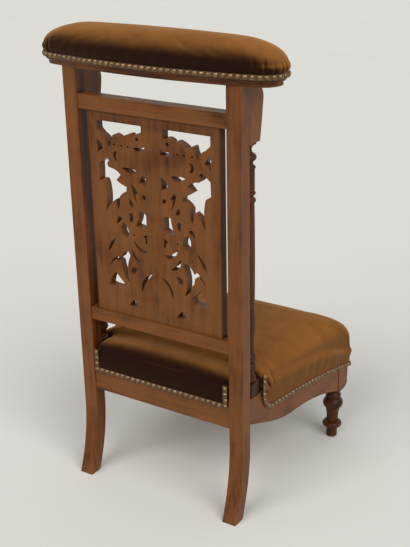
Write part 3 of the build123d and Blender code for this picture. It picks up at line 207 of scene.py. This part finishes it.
class Finish(Tree):
    """A material under construction, with its Principled shader."""

    def __init__(self, name, **constants):
        self.material = bpy.data.materials.new(name)
        self.material.use_nodes = True
        super().__init__(self.material.node_tree)
        self.feed(**constants)

    def feed(self, **sockets):
        """Gives the shader's sockets their values or links; gives the material."""
        values = {name.replace("_", " "): value for name, value in sockets.items()}
        self.set_up(self.nodes["Principled BSDF"], {}, values)
        return self.material

    def coords(self, scale=(1, 1, 1), turn=(0, 0, 0)):
        """The piece's own coordinates, stretched and turned."""
        place = self.node("ShaderNodeTexCoord")["Object"]
        values = {"Vector": place, "Rotation": turn, "Scale": scale}
        return self.node("ShaderNodeMapping", None, values)["Vector"]

    def parts(self, coordinate):
        """The three parts of a texture coordinate, such as Object or Normal."""
        whole = self.node("ShaderNodeTexCoord")[coordinate]
        return self.node("ShaderNodeSeparateXYZ", None, {"Vector": whole})

    def edges(self):
        """Above a half on edges that stand out, and below it in corners."""
        return self.node("ShaderNodeNewGeometry")["Pointiness"]

    def noise(self, coords, scale, detail=3.0, roughness=0.5, distortion=0.0):
        """Noise from 0 to 1 on these coordinates."""
        values = {"Vector": coords, "Scale": scale, "Detail": detail,
                  "Roughness": roughness, "Distortion": distortion}
        return self.node("ShaderNodeTexNoise", None, values)["Fac"]

    def wave(self, direction, **values):
        """Parallel bands from 0 to 1 in this direction."""
        values = {"Vector": self.coords(), **values}
        return self.node("ShaderNodeTexWave", {"bands_direction": direction}, values)["Fac"]

    def ramp(self, value, low, high):
        """0 below low, 1 above high, smooth between."""
        values = {"Value": value, "From Min": low, "From Max": high}
        return self.node("ShaderNodeMapRange", {"interpolation_type": "SMOOTHSTEP"}, values)["Result"]

    def blend(self, share, first, second):
        """A colour between two colours."""
        first, second = (end if isinstance(end, Wire) else (*end, 1) for end in (first, second))
        values = {"Factor_Float": share, "A_Color": first, "B_Color": second}
        return self.node("ShaderNodeMix", {"data_type": "RGBA"}, values)["Result_Color"]

    def bump(self, height, strength, distance):
        """The normal of a surface with this relief."""
        values = {"Strength": strength, "Distance": distance, "Height": height}
        return self.node("ShaderNodeBump", None, values)["Normal"]


def toned(colour, tone):
    """A colour made darker or paler."""
    return tuple(tone * part for part in colour)


def walnut(name, stretch, tone):
    """Stained walnut with long grain, pores, darker streaks, worn paler edges, and painted shade in its
    corners.
    """
    colours = bpy.context.scene.prie_dieu_colours
    middle, dark, pale = (toned(c, tone) for c in (colours.wood, colours.wood_dark, colours.wood_worn))
    finish = Finish(name, Specular_IOR_Level=0.20)
    grain = finish.coords(scale=stretch)
    streaks = finish.noise(grain, scale=85.0, detail=6.0, roughness=0.65, distortion=0.7)
    figure = finish.noise(grain, scale=24.0, detail=3.0, roughness=0.5, distortion=1.2)
    pores = finish.noise(finish.coords(scale=toned(stretch, 2.2)), scale=150.0, detail=2.0, roughness=0.7)
    blotches = finish.noise(finish.coords(), scale=11.0, detail=3.0, roughness=0.55)
    worn = finish.ramp(finish.edges(), low=0.515, high=0.60) * finish.ramp(blotches, low=0.25, high=0.6)
    # Painted shade: the wood is darkened where its surface turns inwards, in corners and joints.
    corner_shade = finish.ramp(finish.edges(), low=0.49, high=0.41)
    base = finish.blend(finish.ramp(streaks, low=0.34, high=0.62), dark, middle)
    base = finish.blend(finish.ramp(figure, low=0.40, high=0.70) * 0.42, base, pale)
    base = finish.blend(finish.ramp(blotches, low=0.35, high=0.75) * 0.45, base, dark)
    base = finish.blend(finish.ramp(pores, low=0.60, high=0.72) * 0.55, base, dark)
    base = finish.blend(worn * 0.55, base, colours.wood_worn)
    base = finish.blend(corner_shade * 0.7, base, dark)
    rough = 0.28 + 0.22 * blotches + 0.12 * finish.ramp(pores, low=0.55, high=0.75)
    relief = streaks * 0.5 - finish.ramp(pores, low=0.60, high=0.74) * 0.7
    normal = finish.bump(relief, strength=0.35, distance=0.0006)
    return finish.feed(Base_Color=base, Roughness=rough, Normal=normal)


def velvet(name, back_shadow_strength=0.0):
    """Cotton velvet with random patches and strokes in its pile, and painted light and shade: pale on faces
    that turn up, dark on faces that turn back and down, with painted glints on the pale faces and, as strong
    as asked, a painted shadow towards the back.
    """
    colours = bpy.context.scene.prie_dieu_colours
    finish = Finish(name, Sheen_Weight=0.6, Sheen_Roughness=0.35, Sheen_Tint=(0.95, 0.57, 0.28, 1),
                    Specular_IOR_Level=0.08)
    patches = finish.noise(finish.coords(scale=(1.0, 1.6, 1.0)),
                           scale=8.5, detail=4.0, roughness=0.55, distortion=0.8)
    strokes = finish.noise(finish.coords(scale=(1.0, 0.35, 0.6), turn=(0, 0, radians(18))),
                           scale=42.0, detail=3.0, roughness=0.6, distortion=0.4)
    nap = finish.noise(finish.coords(), scale=900.0, detail=2.0, roughness=0.7)
    facing, place = finish.parts("Normal"), finish.parts("Object")
    # Painted shadow: the velvet is darkened towards the back of the seat, between the posts, as if shaded by
    # the back.
    back_shadow = finish.ramp(place["Y"], low=0.125, high=0.19) * back_shadow_strength
    # Painted light and shade: faces that turn up get the pale velvet as if lit, faces that turn back and
    # down the dark velvet as if shaded, with random patches between.
    lit_share = finish.ramp(facing["Y"] - facing["Z"] * 0.85 + patches * 0.3 + back_shadow, low=1.15, high=-0.60)
    crushed = finish.ramp(patches, low=0.30, high=0.68)
    stroked = finish.ramp(strokes, low=0.35, high=0.7)
    base = finish.blend(lit_share * (0.62 + crushed * 0.28 + stroked * 0.12), colours.velvet_shaded, colours.velvet)
    # Painted highlight: fine glints of a paler velvet, only on the faces painted as lit.
    glints = finish.ramp(nap, low=0.35, high=0.65) * 0.2 * lit_share
    base = finish.blend(glints, base, toned(colours.velvet, 1.5))
    normal = finish.bump(nap * 0.6 + strokes * 1.2, strength=0.5, distance=0.0009)
    return finish.feed(Base_Color=base, Roughness=0.86 + 0.1 * nap, Normal=normal)


def nail_brass(name):
    """Antiqued brass, dark in its patina and brighter where it is rubbed."""
    brass = bpy.context.scene.prie_dieu_colours.brass
    finish = Finish(name, Metallic=0.9, Coat_Weight=0.1)
    mottle = finish.noise(finish.coords(), scale=260.0, detail=3.0, roughness=0.6)
    base = finish.blend(finish.ramp(mottle, low=0.35, high=0.7), toned(brass, 0.35), brass)
    normal = finish.bump(mottle, strength=0.25, distance=0.0003)
    return finish.feed(Base_Color=base, Roughness=0.24 + 0.22 * mottle, Normal=normal)


def braid(name, colour, pitch):
    """A woven braid: ribs on the slant, crossed by a finer thread."""
    finish = Finish(name, Sheen_Weight=0.2, Specular_IOR_Level=0.2)
    threads = finish.wave("DIAGONAL", Scale=pitch, Distortion=1.5, Detail=2.0)
    fuzz = finish.noise(finish.coords(), scale=700.0, detail=3.0, roughness=0.6)
    base = finish.blend(threads * 0.7 + fuzz * 0.3, toned(colour, 0.4), toned(colour, 1.35))
    normal = finish.bump(threads + fuzz * 0.4, strength=0.6, distance=0.0006)
    return finish.feed(Base_Color=base, Roughness=0.75 + 0.2 * fuzz, Normal=normal)


def weave(name, colour, count):
    """A plain weave: two sets of threads that cross."""
    finish = Finish(name, Specular_IOR_Level=0.15)
    along = finish.wave("X", Scale=count, Distortion=0.8)
    across = finish.wave("Y", Scale=count, Distortion=0.8)
    fuzz = finish.noise(finish.coords(), scale=240.0, detail=4.0, roughness=0.6)
    cloth = along * 0.4 + across * 0.4 + fuzz * 0.3
    base = finish.blend(cloth, toned(colour, 0.45), toned(colour, 1.2))
    normal = finish.bump(cloth, strength=0.7, distance=0.0008)
    return finish.feed(Base_Color=base, Roughness=0.8 + 0.15 * fuzz, Normal=normal)


def steel(name, colour):
    """Dull steel with rust blooms."""
    finish = Finish(name, Metallic=0.85)
    bloom = finish.noise(finish.coords(), scale=90.0, detail=4.0, roughness=0.6)
    base = finish.blend(finish.ramp(bloom, low=0.5, high=0.75), colour, RUST)
    return finish.feed(Base_Color=base, Roughness=0.35 + 0.3 * bloom)


def dress(nodes, material):
    """Gives CAD nodes or pieces one material."""
    for piece in nodes:
        piece.data.materials.clear()
        piece.data.materials.append(material)


def only(piece):
    """Makes a piece the only selected and the active one."""
    if bpy.context.object and bpy.context.object.mode != "OBJECT":
        bpy.ops.object.mode_set(mode="OBJECT")
    bpy.ops.object.select_all(action="DESELECT")
    piece.select_set(True)
    bpy.context.view_layer.objects.active = piece


def copied(node, name):
    """A copy of a CAD node's mesh as a new piece, its loose triangles merged."""
    piece = bpy.data.objects.new(name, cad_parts[node].data.copy())
    bpy.context.scene.collection.objects.link(piece)
    only(piece)
    bpy.ops.object.mode_set(mode="EDIT")
    bpy.ops.mesh.select_all(action="SELECT")
    bpy.ops.mesh.remove_doubles(threshold=0.00002)
    bpy.ops.object.mode_set(mode="OBJECT")
    return piece


def applied(piece, kind, **settings):
    """Adds a modifier with its settings and applies it."""
    only(piece)
    modifier = piece.modifiers.new("step", kind)
    give(modifier, settings)
    bpy.ops.object.modifier_apply(modifier="step")


def remeshed(piece, voxel):
    """Gives a piece an even mesh of small faces."""
    applied(piece, "REMESH", mode="VOXEL", voxel_size=voxel, use_smooth_shade=True)


def swollen(piece, distance):
    """Moves a piece's skin outwards."""
    applied(piece, "DISPLACE", strength=distance, mid_level=0.0)


def marked(piece, name, weight):
    """Makes a vertex group with weight(position, normal) at each point; gives its name."""
    group = piece.vertex_groups.new(name=name)
    for vertex in piece.data.vertices:
        value = weight(vertex.co, vertex.normal)
        if value > 0:
            group.add([vertex.index], value, "REPLACE")
    return name


def filled(piece, pinned):
    """Fills a pad by a cloth simulation with pressure, its pinned points held and no point moving far."""
    sizes = bpy.context.scene.prie_dieu_pads
    rest = [vertex.co.copy() for vertex in piece.data.vertices]
    marked(piece, "held", pinned)
    only(piece)
    modifier = piece.modifiers.new("fill", "CLOTH")
    give(modifier.settings, CLOTH)
    give(modifier.settings, {"uniform_pressure_force": sizes.pressure, "vertex_group_mass": "held"})
    modifier.settings.effector_weights.gravity = 0
    give(modifier.collision_settings, {"use_collision": False, "use_self_collision": False})
    give(modifier.point_cache, {"frame_start": 1, "frame_end": FILL_FRAMES})
    scene = bpy.context.scene
    for step in range(1, FILL_FRAMES + 1):
        scene.frame_set(step)
    bpy.ops.object.modifier_apply(modifier="fill")
    for vertex, start in zip(piece.data.vertices, rest):
        move = vertex.co - start
        if move.length > sizes.swell:
            vertex.co = start + move.normalized() * sizes.swell
    scene.frame_set(1)
    piece.vertex_groups.clear()


def skirt_of(node, name, top, thickness):
    """The outer faces of a cover below top(position), as a band with its thickness inwards."""
    levelness, outwardness = 0.7, 0.25
    band = copied(node, name)
    low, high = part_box(node)
    middle = (low + high) / 2
    bpy.context.tool_settings.mesh_select_mode = (False, False, True)
    for face in band.data.polygons:
        away = (face.center - middle).to_2d()
        level = face.normal.to_2d()
        outer = level.length > levelness and level.dot(away) > outwardness * level.length * away.length
        face.select = not (outer and face.center.z < top(face.center))
    bpy.ops.object.mode_set(mode="EDIT")
    bpy.ops.mesh.delete(type="FACE")
    bpy.ops.object.mode_set(mode="OBJECT")
    applied(band, "SOLIDIFY", thickness=thickness, offset=-1.0)
    return band


def joined(first, second):
    """One piece out of two."""
    only(first)
    second.select_set(True)
    bpy.ops.object.join()
    return first


def eased(value, low, high):
    """0 below low, 1 above high, smooth between."""
    share = min(1.0, max(0.0, (value - low) / (high - low)))
    return share * share * (3 - 2 * share)


def band_of(value, rise, fall):
    """1 between two ranges, eased from 0 over the first and back to 0 over the second."""
    return eased(value, *rise) * (1 - eased(value, *fall))


def folds_at(turn, count, shift):
    """Pleats in a fan, so many in a whole turn, from 0 to 1."""
    return max(0.0, cos(count * turn + shift)) ** 2


def ripples_at(along, pitch, sway, swaying):
    """Shallow waves along an edge, their pitch swaying, from 0 to 1."""
    return 0.5 + 0.5 * cos(along * 2 * pi / pitch + sway * sin(along * swaying))


def pressed(piece, depth, weight):
    """Presses creases into a piece, as deep as weight(position, normal) says at each point."""
    group = marked(piece, "creases", weight)
    applied(piece, "DISPLACE", strength=-depth, mid_level=0.0, vertex_group=group)
    piece.vertex_groups.clear()


def rolled_over(piece, rear, crown, depth, height):
    """Rounds a pad's rear upper edge to part of an ellipse, this deep and this high."""
    for vertex in piece.data.vertices:
        back = (vertex.co.y - rear + depth) / depth
        up = (vertex.co.z - crown + height) / height
        reach = hypot(back, up)
        if back > 0 and up > 0 and reach > 1:
            vertex.co.y = rear - depth + depth * back / reach
            vertex.co.z = crown - height + height * up / reach


def deck_height(y):
    """Height of the seat rails' tops at this place."""
    return DECK_REAR + (DECK_FRONT - DECK_REAR) * (REAR_FACE - y) / DECK_REACH


class DressFrame(bpy.types.Operator):
    """Finishes the wooden frame and the hidden seat in its materials"""

    bl_idname = "prie_dieu.dress_frame"
    bl_label = "Dress the frame"

    def execute(self, context):
        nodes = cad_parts
        for name, stretch, tone, pieces in WOODS:
            dress([nodes[piece] for piece in pieces], walnut(name, stretch, tone))
        dress([nodes["seat_webbing"]], weave("jute_webbing", JUTE, count=130.0))
        dress([nodes["seat_hessian"]], weave("hessian", HESSIAN, count=210.0))
        dress([nodes["seat_springs"]], steel("spring_wire", SPRING_STEEL))
        dress([nodes["corner_screws"]], steel("screw_steel", SCREW_STEEL))
        dress([nodes["seat_nails"], nodes["armrest_nails"]], nail_brass("nail_brass"))
        gimp = braid("gimp_braid", context.scene.prie_dieu_colours.gimp, pitch=160.0)
        dress([nodes["seat_gimp"], nodes["armrest_gimp"]], gimp)
        return {"FINISHED"}


class StuffSeat(bpy.types.Operator):
    """Fills the seat's velvet and pleats it along its nails"""

    bl_idname = "prie_dieu.stuff_seat"
    bl_label = "Stuff the seat"

    def execute(self, context):
        sizes = context.scene.prie_dieu_pads
        nailed_rise, skirt_rise, skirt_thickness = 0.006, 0.02, 0.0055
        rear_held = 0.1215
        pad = copied("seat_stuffing", "seat_velvet")
        remeshed(pad, sizes.voxel)
        rolled_over(pad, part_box("seat_stuffing")[1].y, crown=0.3015, depth=0.040, height=0.052)
        swollen(pad, 0.0021)

        def held(place, normal):
            nailed = place.z < deck_height(place.y) + nailed_rise
            return 1.0 if nailed or place.y > rear_held else 0.0

        filled(pad, held)
        band = skirt_of("seat_cover", "seat_skirt", lambda c: deck_height(c.y) + skirt_rise, skirt_thickness)
        pad = joined(pad, band)
        remeshed(pad, sizes.skin_voxel)
        rolled_over(pad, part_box("seat_cover")[1].y, crown=0.3045, depth=0.043, height=0.055)
        applied(pad, "SMOOTH", factor=0.6, iterations=10)

        def rear_face(place, normal):
            return eased(place.y, 0.135, 0.150) * eased(place.z, 0.254, 0.262)

        applied(pad, "SMOOTH", factor=0.8, iterations=40, vertex_group=marked(pad, "rear", rear_face))
        pad.vertex_groups.clear()

        def creased(place, normal):
            side_start, flat_top = 0.17, 0.93
            corner_reach, corner_height = 0.104, 0.224
            ripple_share = 0.14
            if abs(place.x) < side_start or normal.z > flat_top:
                return 0.0
            reach = REAR_FACE - place.y
            rise = place.z - deck_height(place.y)
            across, up = reach - corner_reach, place.z - corner_height
            away, turn = hypot(across, up), atan2(up, across)
            folds = folds_at(turn, count=15, shift=0.6) * band_of(turn, (1.25, 1.6), (2.9, 3.2))
            folds *= band_of(away, (0.026, 0.036), (0.050, 0.082))
            ripples = ripples_at(reach, pitch=0.043, sway=3, swaying=23) * ripple_share
            ripples *= band_of(rise, (-0.004, 0.008), (0.02, 0.055)) * eased(reach, 0.10, 0.14)
            return min(1.0, folds + ripples)

        pressed(pad, sizes.pleat, creased)
        only(pad)
        bpy.ops.object.shade_smooth()
        # The seat's velvet gets the painted shadow towards its back.
        dress([pad], velvet("seat_velvet", back_shadow_strength=0.85))
        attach(pad, "root")
        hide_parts("seat_cover", "seat_stuffing")
        return {"FINISHED"}


class StuffArmrest(bpy.types.Operator):
    """Fills the armrest's velvet and pleats it along its nails"""

    bl_idname = "prie_dieu.stuff_armrest"
    bl_label = "Stuff the armrest"

    def execute(self, context):
        sizes = context.scene.prie_dieu_pads
        finer = 0.8
        nailed_rise, skirt_rise, skirt_thickness = 0.005, 0.012, 0.0050
        pad_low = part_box("armrest_stuffing")[0].z
        pad = copied("armrest_stuffing", "armrest_velvet")
        remeshed(pad, finer * sizes.voxel)
        applied(pad, "SMOOTH", factor=0.8, iterations=14)
        swollen(pad, 0.0024)
        filled(pad, lambda place, normal: 1.0 if place.z < pad_low + nailed_rise else 0.0)
        band = skirt_of("armrest_cover", "armrest_skirt", lambda c: pad_low + skirt_rise, skirt_thickness)
        pad = joined(pad, band)
        remeshed(pad, finer * sizes.skin_voxel)
        applied(pad, "SMOOTH", factor=0.6, iterations=8)

        def creased(place, normal):
            end_x, end_y = 0.206, 0.168
            ripple_share = 0.15
            turn = atan2(place.y - end_y, abs(place.x) - end_x)
            ends = eased(abs(place.x), 0.170, 0.205)
            depths = 0.65 + 0.35 * cos(5 * turn + 0.7)
            folds = folds_at(turn, count=19, shift=1.3 * sin(3 * turn)) * depths
            ripples = ripples_at(place.x, pitch=0.027, sway=2, swaying=19) * ripple_share
            fade = band_of(place.z - pad_low, (-0.002, 0.004), (0.012, 0.030))
            return fade * (ends * folds + (1 - ends) * ripples)

        pressed(pad, sizes.pleat, creased)
        only(pad)
        bpy.ops.object.shade_smooth()
        dress([pad], velvet("armrest_velvet"))
        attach(pad, "root")
        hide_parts("armrest_cover", "armrest_stuffing")
        return {"FINISHED"}


def lay_floor():
    """Lays a plain pale floor, a little uneven in its colour and without gloss."""
    bpy.ops.object.select_all(action="DESELECT")
    bpy.ops.mesh.primitive_plane_add(size=FLOOR_SIZE, location=(0, 0, 0))
    floor = bpy.context.object
    floor.name = "floor"
    finish = Finish("pale_floor", Roughness=1.0, Specular_IOR_Level=0.0)
    cloudy = finish.noise(finish.coords(), scale=2.0, detail=2.0, roughness=0.5)
    dress([floor], finish.feed(Base_Color=finish.blend(cloudy, *FLOOR_COLOURS)))


def hang_sky(scene):
    """Sets a world that gives dim white light, and that the camera and gloss see as pale as the floor."""
    world = bpy.data.worlds.new("studio")
    world.use_nodes = True
    scene.world = world
    tree = Tree(world.node_tree)
    light = {"Color": SKY_LIGHT, "Strength": SKY_POWER}
    plain = tree.set_up(tree.nodes["Background"], {}, light)["Background"]
    seen = tree.node("ShaderNodeBackground", None, {"Color": SKY_SEEN, "Strength": 1.0})["Background"]
    rays = tree.node("ShaderNodeLightPath")
    looking = rays["Is Camera Ray"].most(rays["Is Glossy Ray"]).most(rays["Is Transmission Ray"])
    mixed = tree.node("ShaderNodeMixShader", None, {"Fac": looking, "Shader": plain, "Shader_001": seen})
    tree.set_up(tree.nodes["World Output"], {}, {"Surface": mixed["Shader"]})


def hang_lamps():
    """Adds the soft suns, each in the direction of its place."""
    for name, toward in LAMPS:
        bpy.ops.object.light_add(type="SUN", location=toward)
        lamp = bpy.context.object
        lamp.name = name
        lamp.data.energy = LAMP_POWER
        lamp.data.angle = LAMP_SPREAD
        lamp.rotation_euler = Vector(toward).to_track_quat("Z", "Y").to_euler()


def place_camera(scene):
    """Puts the camera where the photo was taken from."""
    yaw, pitch, roll = CAMERA_YAW, CAMERA_PITCH, CAMERA_ROLL
    back = Vector((-sin(yaw) * cos(pitch), cos(yaw) * cos(pitch), sin(pitch)))
    right = Vector((-cos(yaw), -sin(yaw), 0))
    up = back.cross(right)
    across = right * cos(roll) + up * sin(roll)
    upright = up * cos(roll) - right * sin(roll)
    bpy.ops.object.camera_add()
    camera = bpy.context.object
    camera.data.sensor_width = CAMERA_SENSOR
    camera.data.lens = CAMERA_LENS
    turned = Matrix((across, upright, back)).transposed().to_4x4()
    camera.matrix_world = Matrix.Translation(CAMERA_PLACE) @ turned
    scene.camera = camera


class SetStage(bpy.types.Operator):
    """Sets the pale floor, the soft lamps and the camera"""

    bl_idname = "prie_dieu.set_stage"
    bl_label = "Set the stage"

    def execute(self, context):
        context.scene.view_settings.view_transform = "Standard"
        lay_floor()
        hang_sky(context.scene)
        hang_lamps()
        place_camera(context.scene)
        return {"FINISHED"}


class PrieDieuPanel(bpy.types.Panel):
    """Lists the sizes, the colours and the steps"""

    bl_idname = "VIEW3D_PT_prie_dieu"
    bl_label = "Prie-dieu"
    bl_space_type = "VIEW_3D"
    bl_region_type = "UI"
    bl_category = "Prie-dieu"

    def draw(self, context):
        for group in (context.scene.prie_dieu_pads, context.scene.prie_dieu_colours):
            for name in group.bl_rna.properties.keys():
                if name not in ("rna_type", "name"):
                    self.layout.prop(group, name)
        for step in STEPS:
            self.layout.operator(step.bl_idname)


STEPS = (DressFrame, StuffSeat, StuffArmrest, SetStage)
CLASSES = (PadSizes, Colours, *STEPS, PrieDieuPanel)


def register():
    for kind in CLASSES:
        bpy.utils.register_class(kind)
    bpy.types.Scene.prie_dieu_pads = PointerProperty(type=PadSizes)
    bpy.types.Scene.prie_dieu_colours = PointerProperty(type=Colours)


def unregister():
    del bpy.types.Scene.prie_dieu_colours
    del bpy.types.Scene.prie_dieu_pads
    for kind in reversed(CLASSES):
        bpy.utils.unregister_class(kind)


def main():
    register()
    bpy.ops.prie_dieu.dress_frame()
    bpy.ops.prie_dieu.stuff_seat()
    bpy.ops.prie_dieu.stuff_armrest()
    bpy.ops.prie_dieu.set_stage()


if __name__ == "__main__":
    main()
